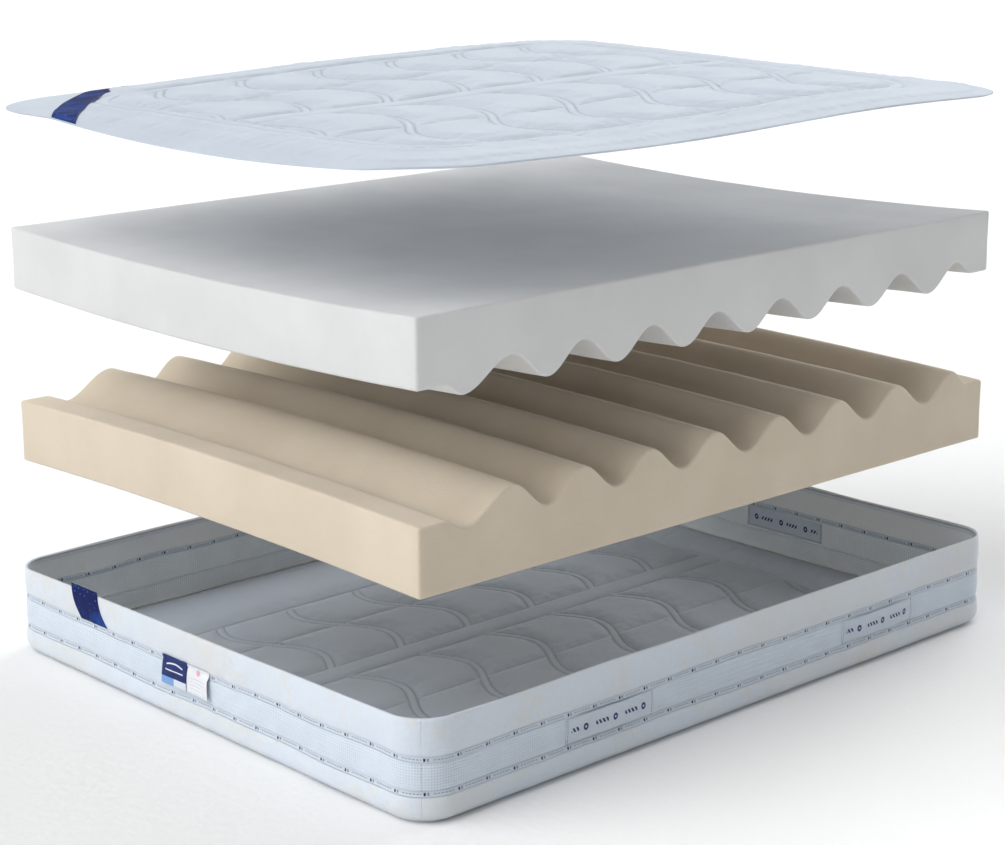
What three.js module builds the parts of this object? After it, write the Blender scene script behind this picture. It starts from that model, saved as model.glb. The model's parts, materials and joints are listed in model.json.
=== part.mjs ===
// Memory foam mattress, 160 x 200 class, shown opened out as a stack: a zip-off quilted top panel over a
// memory foam layer, over a core foam layer, over the open tray of the cover.
// Millimetres, +Z up, +X from the foot end to the head end, +Y to the sleeper's left.
// The origin is the middle of the cover's underside.
import * as THREE from 'three';

// Gaps
const TOUCH = 0.3; // between pieces that lie on or against each other
const FOAM_TO_WALL = 28; // lets the square foam corners pass the cover's round ones

// Foam layers
const FOAM_LENGTH = 1980;
const FOAM_WIDTH = 1575;
const CORE_BOTTOM = 507; // height of the lifted core's underside at its long edges
const CORE_EDGE = 160; // thickness at the plain strip along each end
const CORE_WAVE_RISE = 10; // middle of the waves above that strip
const CORE_ARCH = 14; // how far the middle of the width stands up
const COMFORT_BOTTOM = 962;
const COMFORT_EDGE = 158;
const COMFORT_WAVE_RISE = 4;
const COMFORT_SAG = 20; // how far the middle of the width hangs down
const WAVE_HEIGHT = 33; // half of crest to valley
const WAVE_PITCH = 225;
const WAVE_COUNT = 8;
const FIRST_CREST = -716;
const FIRST_VALLEY = -858;
const FOOT_STRIP_END = -915; // where the plain strip meets the first valley
const HEAD_STRIP_START = 925;
const CREST_DRIFT = 20; // crests sit this much nearer the foot in mid length
const WAVE_STEPS = 6; // chords from a crest to a valley
const WIDTH_STEPS = 8; // chords across the arched width

// Cover
const WALL = 5; // border fabric thickness
const COVER_LENGTH = FOAM_LENGTH + 2 * (FOAM_TO_WALL + WALL);
const COVER_WIDTH = FOAM_WIDTH + 2 * (FOAM_TO_WALL + WALL);
const COVER_HEIGHT = 242;
const CORNER = 95; // outer radius of the cover's upright corners
const PLY = 2; // outer fabric under the base
const BASE_WADDING = 12;
const LINING = 1.5;
const TAPE_HEIGHT = 15;
const TAPE = 1.2;
const LOWER_SEAM = 70; // height of the seam under the mesh band
const UPPER_SEAM = 150.5; // height of the seam over the mesh band
const FLOOR_SEAM = 3; // size of the bead sewn round the inside of the floor

// Handles and labels on the border
const HANDLE_LENGTH = 284;
const HANDLE_HEIGHT = 60;
const HANDLE = 2.5;
const PATCH = 0.8;
const HANDLE_MIDDLE = 111; // height
const LABEL_TOP = 160;
const LABEL_DROP = 72;
const LABEL = 0.8;
const WOVEN_LABEL_WIDTH = 98;
const WOVEN_LABEL_Y = 80;
const CARE_LABEL_WIDTH = 88;
const CARE_LABEL_Y = -16;
const RIBBON = 0.6;
const FOOT_RIBBON_WIDTH = 118;
const FOOT_RIBBON_SLANT = 44;
const FOOT_RIBBON_Y = 450;

// Zip
const ZIP_TAPE = 1.5;
const ZIP_TAPE_HEIGHT = 14;
const ZIP_BELOW_RIM = 2;
const SLIDER = [16, 8, 11];
const SLIDER_X = -820;
const PULL = [34, 1.6, 7];
const PULL_GAP = 1.2; // its loop's height over the slider

// Top panel
const PANEL_LENGTH = 2080;
const PANEL_WIDTH = 1700;
const PANEL_CORNER = 220;
const PANEL_BOTTOM = 1429;
const BACKING = 2;
const TOP_WADDING = 12;
const TOP_WADDING_INSET = 60;
const TICKING = 3;
const ZIP_EDGE = 12; // from the panel's edge to its zip tape
const RIBBON_MARGIN = 4; // kept back from the panel's edges
const RIBBON_AT_FOOT = [385, 490]; // where its two sides meet the foot edge, along Y
const RIBBON_AT_LEFT = [-685, -575]; // and the left edge, along X
const RIBBON_BOW = 24;

const fabric = (color, roughness = 0.9) => new THREE.MeshStandardMaterial({ color, roughness, metalness: 0 });
const materials = {
  quilt: fabric(0xdde6f0),
  mesh: fabric(0xcfd8dc),
  lining: fabric(0x8f979e),
  wadding: fabric(0xf4f4f2),
  tape: fabric(0xe9edf0),
  memoryFoam: fabric(0xeeeeec, 0.8),
  coreFoam: fabric(0xddceb9, 0.8),
  ribbon: fabric(0x1d2c78, 0.35),
  label: fabric(0x24357f, 0.6),
  careLabel: fabric(0xf2f2f4, 0.7),
  zipTape: fabric(0xe6eaee),
  zipMetal: new THREE.MeshStandardMaterial({ color: 0xb9bcc0, roughness: 0.35, metalness: 0.8 }),
};

const mattress = new THREE.Group();

function add(name, geometry, material, position = [0, 0, 0], turn = 0) {
  const piece = new THREE.Mesh(geometry, material);
  piece.name = name;
  piece.position.set(...position);
  piece.rotation.z = turn;
  mattress.add(piece);
}

const extrude = (shape, depth, curveSegments = 6) =>
  new THREE.ExtrudeGeometry(shape, { depth, bevelEnabled: false, curveSegments });

// A rectangle with round corners, as an outline or, with Path, as a hole.
function roundedRectangle(length, width, radius, Kind = THREE.Shape) {
  const x = length / 2 - radius;
  const y = width / 2 - radius;
  return new Kind()
    .absarc(x, y, radius, 0, Math.PI / 2)
    .absarc(-x, y, radius, Math.PI / 2, Math.PI)
    .absarc(-x, -y, radius, Math.PI, 1.5 * Math.PI)
    .absarc(x, -y, radius, 1.5 * Math.PI, 2 * Math.PI);
}

// A flat sheet with the cover's or the panel's outline, drawn in by inset.
const sheet = (length, width, radius, inset, depth) =>
  extrude(roundedRectangle(length - 2 * inset, width - 2 * inset, radius - inset), depth);

// A closed band of that outline, from inset to inset + thickness.
function ring(length, width, radius, inset, thickness, depth) {
  const inner = inset + thickness;
  const shape = roundedRectangle(length - 2 * inset, width - 2 * inset, radius - inset);
  shape.holes.push(roundedRectangle(length - 2 * inner, width - 2 * inner, radius - inner, THREE.Path));
  return extrude(shape, depth);
}

// Cover: base of three plies, and the bead where its lining meets the border.
function addBase() {
  const inside = WALL + TOUCH;
  const waddingBottom = PLY + TOUCH;
  const liningBottom = waddingBottom + BASE_WADDING + TOUCH;
  const outline = [COVER_LENGTH, COVER_WIDTH, CORNER];
  add('base_ticking', sheet(...outline, 0, PLY), materials.quilt);
  add('base_wadding', sheet(...outline, inside, BASE_WADDING), materials.wadding, [0, 0, waddingBottom]);
  add('base_lining', sheet(...outline, inside, LINING), materials.lining, [0, 0, liningBottom]);
  const bead = ring(...outline, inside, FLOOR_SEAM, FLOOR_SEAM);
  add('floor_seam_bead', bead, materials.tape, [0, 0, liningBottom + LINING + TOUCH]);
}

// One side of a border band, from the middle of one round corner to the middle of the next.
// It is drawn as the side that faces -Y, run long and across / 2 from the centre.
function borderStrip(run, across, height) {
  const x = run / 2 - CORNER;
  const y = CORNER - across / 2;
  const inner = CORNER - WALL;
  const seam = TOUCH / 2 / inner; // half of the gap at each corner seam, as an angle
  const start = 1.25 * Math.PI + seam;
  const down = 1.5 * Math.PI;
  const end = 1.75 * Math.PI - seam;
  const strip = new THREE.Shape()
    .absarc(-x, y, CORNER, start, down)
    .absarc(x, y, CORNER, down, end)
    .absarc(x, y, inner, end, down, true)
    .absarc(-x, y, inner, down, start, true);
  return extrude(strip, height, 3);
}

const SIDES = [
  { name: 'right', run: COVER_LENGTH, across: COVER_WIDTH, turn: 0 },
  { name: 'head', run: COVER_WIDTH, across: COVER_LENGTH, turn: Math.PI / 2 },
  { name: 'left', run: COVER_LENGTH, across: COVER_WIDTH, turn: Math.PI },
  { name: 'foot', run: COVER_WIDTH, across: COVER_LENGTH, turn: -Math.PI / 2 },
];

const BANDS = [
  { name: 'base', bottom: PLY + TOUCH, top: LOWER_SEAM, material: materials.quilt },
  { name: 'mesh', bottom: LOWER_SEAM, top: UPPER_SEAM, material: materials.mesh },
  { name: 'top', bottom: UPPER_SEAM, top: COVER_HEIGHT, material: materials.quilt },
];

// Border: three bands, each of four strips joined at the corners, with a tape over each long seam
// outside, and over the upper one inside.
function addBorder() {
  for (const band of BANDS) {
    const height = band.top - band.bottom - (band.name === 'top' ? 0 : TOUCH);
    for (const side of SIDES) {
      const strip = borderStrip(side.run, side.across, height);
      add(`border_${band.name}_${side.name}`, strip, band.material, [0, 0, band.bottom], side.turn);
    }
  }
  const outline = [COVER_LENGTH, COVER_WIDTH, CORNER];
  const outer = ring(...outline, -TAPE - TOUCH, TAPE, TAPE_HEIGHT);
  const inner = ring(...outline, WALL + TOUCH, TAPE, TAPE_HEIGHT);
  add('lower_tape_outer', outer, materials.tape, [0, 0, LOWER_SEAM - TAPE_HEIGHT / 2]);
  add('upper_tape_outer', outer, materials.tape, [0, 0, UPPER_SEAM - TAPE_HEIGHT / 2]);
  add('upper_tape_inner', inner, materials.tape, [0, 0, UPPER_SEAM - TAPE_HEIGHT / 2]);
}

// Handles: a flat strap outside the mesh band, sewn through to a thin patch inside.
const HANDLES = [
  { name: 'right_foot', side: SIDES[0], along: -450 },
  { name: 'right_head', side: SIDES[0], along: 530 },
  { name: 'head_end', side: SIDES[1], along: -95 },
  { name: 'left_side', side: SIDES[2], along: -10 },
];

function addHandles() {
  for (const { name, side, along } of HANDLES) {
    const outside = side.across / 2 + TOUCH + HANDLE / 2;
    const inside = side.across / 2 - WALL - TOUCH - PATCH / 2;
    const place = (out) =>
      new THREE.Vector3(along, -out, HANDLE_MIDDLE).applyAxisAngle(new THREE.Vector3(0, 0, 1), side.turn);
    const strap = new THREE.BoxGeometry(HANDLE_LENGTH, HANDLE, HANDLE_HEIGHT);
    const patch = new THREE.BoxGeometry(HANDLE_LENGTH, PATCH, HANDLE_HEIGHT);
    add(`handle_${name}`, strap, materials.mesh, place(outside).toArray(), side.turn);
    add(`handle_patch_${name}`, patch, materials.mesh, place(inside).toArray(), side.turn);
  }
}

// Foot end: a slanting ribbon on the top band, a woven label, and a care label that hangs from its top edge.
function addFootEndTrim() {
  const face = -COVER_LENGTH / 2 - TOUCH;
  const overTape = face - TAPE - TOUCH;
  const labelZ = LABEL_TOP - LABEL_DROP / 2;
  const ribbonBottom = UPPER_SEAM + TAPE_HEIGHT / 2 + TOUCH;
  const half = FOOT_RIBBON_WIDTH / 2;
  const slant = FOOT_RIBBON_SLANT / 2;
  const outline = new THREE.Shape([
    new THREE.Vector2(FOOT_RIBBON_Y - slant - half, ribbonBottom),
    new THREE.Vector2(FOOT_RIBBON_Y - slant + half, ribbonBottom),
    new THREE.Vector2(FOOT_RIBBON_Y + slant + half, COVER_HEIGHT),
    new THREE.Vector2(FOOT_RIBBON_Y + slant - half, COVER_HEIGHT),
  ]);
  const ribbon = extrude(outline, RIBBON);
  ribbon.rotateX(Math.PI / 2).rotateZ(Math.PI / 2); // drawn in Y and Z, thickness along +X
  add('foot_ribbon', ribbon, materials.ribbon, [face - RIBBON, 0, 0]);
  const woven = new THREE.BoxGeometry(LABEL, WOVEN_LABEL_WIDTH, LABEL_DROP);
  add('woven_label', woven, materials.label, [overTape - LABEL / 2, WOVEN_LABEL_Y, labelZ]);
  const care = new THREE.BoxGeometry(LABEL, CARE_LABEL_WIDTH, LABEL_DROP);
  add('care_label', care, materials.careLabel, [overTape - LABEL / 2, CARE_LABEL_Y, labelZ]);
}

// Zip: a tape inside the rim and one under the panel's edge, and the slider with its pull on the rim's.
function addZip() {
  const zipBottom = COVER_HEIGHT - ZIP_BELOW_RIM - ZIP_TAPE_HEIGHT;
  const rimZip = ring(COVER_LENGTH, COVER_WIDTH, CORNER, WALL + TOUCH, ZIP_TAPE, ZIP_TAPE_HEIGHT);
  add('rim_zip_tape', rimZip, materials.zipTape, [0, 0, zipBottom]);
  const panelZip = ring(PANEL_LENGTH, PANEL_WIDTH, PANEL_CORNER, ZIP_EDGE, ZIP_TAPE_HEIGHT, ZIP_TAPE);
  add('panel_zip_tape', panelZip, materials.zipTape, [0, 0, PANEL_BOTTOM - TOUCH - ZIP_TAPE]);
  const sliderY = -COVER_WIDTH / 2 + WALL + ZIP_TAPE + 2 * TOUCH + SLIDER[1] / 2;
  const sliderZ = zipBottom + ZIP_TAPE_HEIGHT / 2;
  add('zip_slider', new THREE.BoxGeometry(...SLIDER), materials.zipMetal, [SLIDER_X, sliderY, sliderZ]);
  const pullX = SLIDER_X + SLIDER[0] / 2 - PULL[0] / 2;
  const pullY = sliderY + SLIDER[1] / 2 + PULL_GAP + PULL[1] / 2;
  add('zip_pull', new THREE.BoxGeometry(...PULL), materials.zipMetal, [pullX, pullY, sliderZ]);
}

// Height of a foam layer's wavy face above its plain end strips, as places along X and heights.
// From each place to the next the face follows half a cosine.
function waveStations(rise) {
  const drift = (share) => CREST_DRIFT * Math.sin(Math.PI * share);
  const along = (count) => FIRST_CREST + WAVE_PITCH * count - drift(count / (WAVE_COUNT - 1));
  const stations = [[FOOT_STRIP_END, 0], [FIRST_VALLEY, rise - WAVE_HEIGHT]];
  for (let wave = 0; wave < WAVE_COUNT; wave += 1) {
    stations.push([along(wave), rise + WAVE_HEIGHT]);
    if (wave < WAVE_COUNT - 1) stations.push([along(wave + 0.5), rise - WAVE_HEIGHT]);
  }
  stations.push([HEAD_STRIP_START, 0]);
  return stations;
}

function waveLine(rise) {
  const stations = waveStations(rise);
  const points = [new THREE.Vector2(-FOAM_LENGTH / 2, 0), new THREE.Vector2(...stations[0])];
  for (let k = 1; k < stations.length; k += 1) {
    const [x0, z0] = stations[k - 1];
    const [x1, z1] = stations[k];
    for (let step = 1; step <= WAVE_STEPS; step += 1) {
      const share = step / WAVE_STEPS;
      const ease = (1 - Math.cos(Math.PI * share)) / 2;
      points.push(new THREE.Vector2(x0 + (x1 - x0) * share, z0 + (z1 - z0) * ease));
    }
  }
  points.push(new THREE.Vector2(FOAM_LENGTH / 2, 0));
  return points;
}

// A foam layer: its side outline, drawn in X and Z and run across the width, then bowed along Z.
function foamLayer(line, flatFace, bow) {
  const corners = [FOAM_LENGTH / 2, -FOAM_LENGTH / 2].map((x) => new THREE.Vector2(x, flatFace));
  const outline = new THREE.Shape([...line, ...corners]);
  const run = { depth: FOAM_WIDTH, steps: WIDTH_STEPS, bevelEnabled: false };
  const layer = new THREE.ExtrudeGeometry(outline, run);
  layer.rotateX(Math.PI / 2).translate(0, FOAM_WIDTH / 2, 0);
  const points = layer.getAttribute('position');
  for (let k = 0; k < points.count; k += 1) {
    const share = points.getY(k) / (FOAM_WIDTH / 2);
    points.setZ(k, points.getZ(k) + bow * (1 - share * share));
  }
  return layer;
}

function addFoams() {
  const core = foamLayer(waveLine(CORE_WAVE_RISE), -CORE_EDGE, CORE_ARCH);
  add('core_foam_layer', core, materials.coreFoam, [0, 0, CORE_BOTTOM + CORE_EDGE]);
  const comfort = foamLayer(waveLine(COMFORT_WAVE_RISE), COMFORT_EDGE, -COMFORT_SAG);
  add('memory_foam_layer', comfort, materials.memoryFoam, [0, 0, COMFORT_BOTTOM]);
}

// A strip of ribbon over the corner at the foot on the left, bowed a little towards that corner.
function cornerRibbon() {
  const foot = -PANEL_LENGTH / 2 + RIBBON_MARGIN;
  const left = PANEL_WIDTH / 2 - RIBBON_MARGIN;
  const [nearY, farY] = RIBBON_AT_FOOT;
  const [farX, nearX] = RIBBON_AT_LEFT;
  const bowed = (x, y) => [(foot + x) / 2 - RIBBON_BOW, (left + y) / 2 + RIBBON_BOW];
  const strip = new THREE.Shape();
  strip.moveTo(foot, nearY);
  strip.quadraticCurveTo(...bowed(nearX, nearY), nearX, left);
  strip.lineTo(farX, left);
  strip.quadraticCurveTo(...bowed(farX, farY), foot, farY);
  return extrude(strip, RIBBON, 10);
}

// Top panel: backing, wadding and ticking, and the ribbon over one corner.
function addTopPanel() {
  const outline = [PANEL_LENGTH, PANEL_WIDTH, PANEL_CORNER];
  const waddingBottom = PANEL_BOTTOM + BACKING + TOUCH;
  const tickingBottom = waddingBottom + TOP_WADDING + TOUCH;
  const ribbonBottom = tickingBottom + TICKING + TOUCH;
  add('top_backing', sheet(...outline, 0, BACKING), materials.lining, [0, 0, PANEL_BOTTOM]);
  const wadding = sheet(...outline, TOP_WADDING_INSET, TOP_WADDING);
  add('top_wadding', wadding, materials.wadding, [0, 0, waddingBottom]);
  add('top_ticking', sheet(...outline, 0, TICKING), materials.quilt, [0, 0, tickingBottom]);
  add('corner_ribbon', cornerRibbon(), materials.ribbon, [0, 0, ribbonBottom]);
}

addBase();
addBorder();
addHandles();
addFootEndTrim();
addZip();
addFoams();
addTopPanel();

export default mattress;
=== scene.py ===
"""A memory foam mattress opened out as a stack: quilted top panel, memory foam, core foam, cover tray."""
import json
import math

import bpy
import numpy as np
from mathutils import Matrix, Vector

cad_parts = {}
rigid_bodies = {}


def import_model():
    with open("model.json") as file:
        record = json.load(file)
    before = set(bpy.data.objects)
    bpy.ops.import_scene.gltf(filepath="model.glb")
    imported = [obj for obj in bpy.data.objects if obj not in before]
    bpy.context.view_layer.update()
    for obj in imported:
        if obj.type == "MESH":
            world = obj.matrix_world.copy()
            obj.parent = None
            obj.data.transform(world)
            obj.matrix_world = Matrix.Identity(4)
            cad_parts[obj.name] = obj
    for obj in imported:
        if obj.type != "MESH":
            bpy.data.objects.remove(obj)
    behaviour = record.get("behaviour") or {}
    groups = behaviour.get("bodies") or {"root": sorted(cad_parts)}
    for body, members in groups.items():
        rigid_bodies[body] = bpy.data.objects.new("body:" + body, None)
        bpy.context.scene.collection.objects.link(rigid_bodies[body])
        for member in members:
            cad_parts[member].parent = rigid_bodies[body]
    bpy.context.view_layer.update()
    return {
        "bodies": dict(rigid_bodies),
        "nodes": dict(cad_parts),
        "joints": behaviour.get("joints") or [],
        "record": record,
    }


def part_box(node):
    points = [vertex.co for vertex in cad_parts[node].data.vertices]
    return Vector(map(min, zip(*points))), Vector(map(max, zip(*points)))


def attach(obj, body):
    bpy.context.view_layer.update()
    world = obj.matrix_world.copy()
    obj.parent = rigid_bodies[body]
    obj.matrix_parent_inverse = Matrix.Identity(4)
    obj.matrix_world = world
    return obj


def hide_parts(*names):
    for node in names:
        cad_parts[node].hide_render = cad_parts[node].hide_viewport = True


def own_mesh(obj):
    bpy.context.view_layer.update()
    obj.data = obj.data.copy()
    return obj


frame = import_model()
MM = 0.001

# ---------------------------------------------------------------- sizes, from the frame


def half_sizes(node):
    """Half of a CAD node's size along X and along Y."""
    low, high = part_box(node)
    return (high.x - low.x) / 2, (high.y - low.y) / 2


def heights(node):
    """Lowest and highest Z of a CAD node."""
    low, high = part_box(node)
    return low.z, high.z


COVER_X, COVER_Y = half_sizes("base_ticking")
FOAM_X, FOAM_Y = half_sizes("core_foam_layer")
PANEL_X, PANEL_Y = half_sizes("top_ticking")
RIM_Z = heights("border_top_foot")[1]
LOWER_SEAM = heights("border_mesh_foot")[0]
UPPER_SEAM = heights("border_top_foot")[0]
PANEL_PLY = heights("top_backing")[1]  # where the panel's backing meets its quilt
CORNER = 95 * MM  # outer radius of the cover's upright corners
PANEL_CORNER = 220 * MM
WALL = 5 * MM  # border fabric
HEM = 26 * MM  # radius with which the lowest band turns under
SIDES = ("right", "head", "left", "foot")


# ---------------------------------------------------------------- meshes


def piece(name, verts, faces, body, replaces, look, uv=None, loop=None):
    """A smooth mesh in the row frame that rides on a body and stands for CAD nodes.

    uv is a pair for each vertex: metres along a band and metres across it. Where the band closes
    on itself, loop is its length.
    """
    mesh = bpy.data.meshes.new(name)
    mesh.from_pydata(np.asarray(verts, float).tolist(), [], faces)
    mesh.polygons.foreach_set("use_smooth", [True] * len(mesh.polygons))
    if uv is not None:
        corner_vertex = np.empty(len(mesh.loops), int)
        mesh.loops.foreach_get("vertex_index", corner_vertex)
        corners = np.asarray(uv, float)[corner_vertex]
        if loop:
            starts = np.empty(len(mesh.polygons), int)
            mesh.polygons.foreach_get("loop_start", starts)
            furthest = np.repeat(np.maximum.reduceat(corners[:, 0], starts),
                                 np.diff(np.append(starts, len(corners))))
            corners[:, 0] += np.where(furthest - corners[:, 0] > loop / 2, loop, 0)
        mesh.uv_layers.new(name="band").data.foreach_set("uv", corners.astype(np.float32).ravel())
    mesh.materials.append(look)
    obj = bpy.data.objects.new(name, mesh)
    bpy.context.scene.collection.objects.link(obj)
    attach(obj, body)
    if replaces:
        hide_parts(*replaces)
    return obj


def quads(rows, columns, first=0, flip=False, closed=False):
    """Quads over rows x columns vertices, numbered row by row from first.

    closed joins the last column to the first.
    """
    width = columns if closed else columns - 1
    row, column = np.meshgrid(np.arange(rows - 1), np.arange(width), indexing="ij")
    a = first + row * columns + column
    b = first + row * columns + (column + 1) % columns
    c, d = b + columns, a + columns
    faces = np.stack([a, d, c, b] if flip else [a, b, c, d], -1)
    return faces.reshape(-1, 4).tolist()


def slab(top, bottom, bulge=None):
    """A closed body between two grids of points, both (rows, columns, 3), seen from above.

    bulge, a list of outward shares and a distance, adds rows of points round the edge between them.
    """
    rows, columns, _ = top.shape
    count = rows * columns
    faces = quads(rows, columns) + quads(rows, columns, count, flip=True)
    index = np.arange(count).reshape(rows, columns)
    rim = np.concatenate([index[0, :-1], index[:-1, -1], index[-1, :0:-1], index[:0:-1, 0]])
    verts = [top.reshape(-1, 3), bottom.reshape(-1, 3)]
    upper, lower = verts[0][rim], verts[1][rim]
    rings = [rim]
    for share, out in bulge or ():
        ahead = np.roll(upper, -1, 0) - np.roll(upper, 1, 0)
        outward = np.stack([ahead[:, 1], -ahead[:, 0], 0 * ahead[:, 0]], -1)
        outward /= np.maximum(np.linalg.norm(outward, axis=1, keepdims=True), 1e-9)
        first = sum(len(v) for v in verts)
        verts.append(upper + (lower - upper) * share + outward * out)
        rings.append(np.arange(first, first + len(rim)))
    rings.append(rim + count)
    for a, b in zip(rings, rings[1:]):
        side = np.stack([a, b, np.roll(b, -1), np.roll(a, -1)], -1)
        faces += side.tolist()
    return np.concatenate(verts), faces


def band(outer, inner):
    """A closed loop of fabric between two grids of points, both (rows, columns, 3), closed on themselves."""
    rows, columns, _ = outer.shape
    count = rows * columns
    faces = quads(rows, columns, closed=True) + quads(rows, columns, count, flip=True, closed=True)
    low = np.arange(columns)
    low_next = (low + 1) % columns
    faces += np.stack([low, low + count, low_next + count, low_next], -1).tolist()
    high, high_next = low + count - columns, low_next + count - columns
    faces += np.stack([high, high_next, high_next + count, high + count], -1).tolist()
    return np.concatenate([outer.reshape(-1, 3), inner.reshape(-1, 3)]), faces


def tube(path, radius, sides=8):
    """A closed loop of round cord along path, (points, 3), which lies about level."""
    ahead = np.roll(path, -1, 0) - np.roll(path, 1, 0)
    ahead /= np.linalg.norm(ahead, axis=1, keepdims=True)
    across = np.stack([ahead[:, 1], -ahead[:, 0], 0 * ahead[:, 0]], -1)
    across /= np.linalg.norm(across, axis=1, keepdims=True)
    up = np.cross(across, ahead)
    angle = np.linspace(0, 2 * math.pi, sides, endpoint=False)
    rings = [path + radius * (across * math.cos(t) + up * math.sin(t)) for t in angle]
    faces = quads(sides, len(path), closed=True)
    first = np.arange(len(path))
    first_next = (first + 1) % len(path)
    last, last_next = first + (sides - 1) * len(path), first_next + (sides - 1) * len(path)
    faces += np.stack([last, last_next, first_next, first], -1).tolist()
    return np.concatenate(rings), faces


def round_edges(obj, width):
    """Rounds the sharp edges of a piece and makes that its mesh."""
    modifier = obj.modifiers.new("round_edges", "BEVEL")
    modifier.width = width
    modifier.segments = 2
    modifier.limit_method = "ANGLE"
    modifier.angle_limit = math.radians(40)
    bpy.context.view_layer.update()
    depsgraph = bpy.context.evaluated_depsgraph_get()
    sharp = obj.data
    obj.data = bpy.data.meshes.new_from_object(obj.evaluated_get(depsgraph), depsgraph=depsgraph)
    obj.modifiers.clear()
    name = sharp.name
    bpy.data.meshes.remove(sharp)
    obj.data.name = name


def inside_by(x, y, half_x, half_y, radius):
    """How far a point is inside a rectangle with round corners: negative outside."""
    qx = np.abs(x) - (half_x - radius)
    qy = np.abs(y) - (half_y - radius)
    outside = np.hypot(np.maximum(qx, 0), np.maximum(qy, 0))
    return radius - outside - np.minimum(np.maximum(qx, qy), 0)


def round_corners(x, y, half_x, half_y, radius):
    """Takes the points near a rectangle's corners in along rays, so that its rim is round there."""
    qx, qy = np.abs(x) - (half_x - radius), np.abs(y) - (half_y - radius)
    corner = (qx > 0) & (qy > 0)
    shrink = np.where(corner, np.maximum(qx, qy) / np.maximum(np.hypot(qx, qy), 1e-9), 1)
    x = np.where(corner, np.sign(x) * (half_x - radius + qx * shrink), x)
    y = np.where(corner, np.sign(y) * (half_y - radius + qy * shrink), y)
    return x, y


def rounded_grid(half_x, half_y, radius, step):
    """A grid that fills a rectangle with round corners, with an odd number of points each way."""
    columns = 2 * int(round(half_x / step)) + 1
    rows = 2 * int(round(half_y / step)) + 1
    x, y = np.meshgrid(np.linspace(-half_x, half_x, columns), np.linspace(-half_y, half_y, rows))
    return round_corners(x, y, half_x, half_y, radius)


def ripple(x, y, length, seed, octaves=3):
    """Smooth random height from -1 to 1 with bumps about length across; the same on every run."""
    rng = np.random.default_rng(seed)
    total = np.zeros_like(x, float)
    weight = 0.0
    for octave in range(octaves):
        share = 0.55 ** octave
        for _ in range(5):
            angle, phase = rng.uniform(0, 2 * math.pi, 2)
            wave = 2 * math.pi * 2 ** octave / (length * rng.uniform(0.8, 1.6))
            total += share * np.sin(wave * (x * math.cos(angle) + y * math.sin(angle)) + phase)
            weight += share
    return total / weight * 1.8


# ---------------------------------------------------------------- looks, with their lengths in metres


NAVY = (0.004, 0.011, 0.085)
INK = (0.012, 0.022, 0.15)
THREAD_GREY = (0.22, 0.24, 0.28)
PALE = 100.0  # metres along a stitch line of pale thread are counted from here
MESH_LIGHT = (0.66, 0.73, 0.81)
MESH_DARK = (0.60, 0.67, 0.755)


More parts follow.
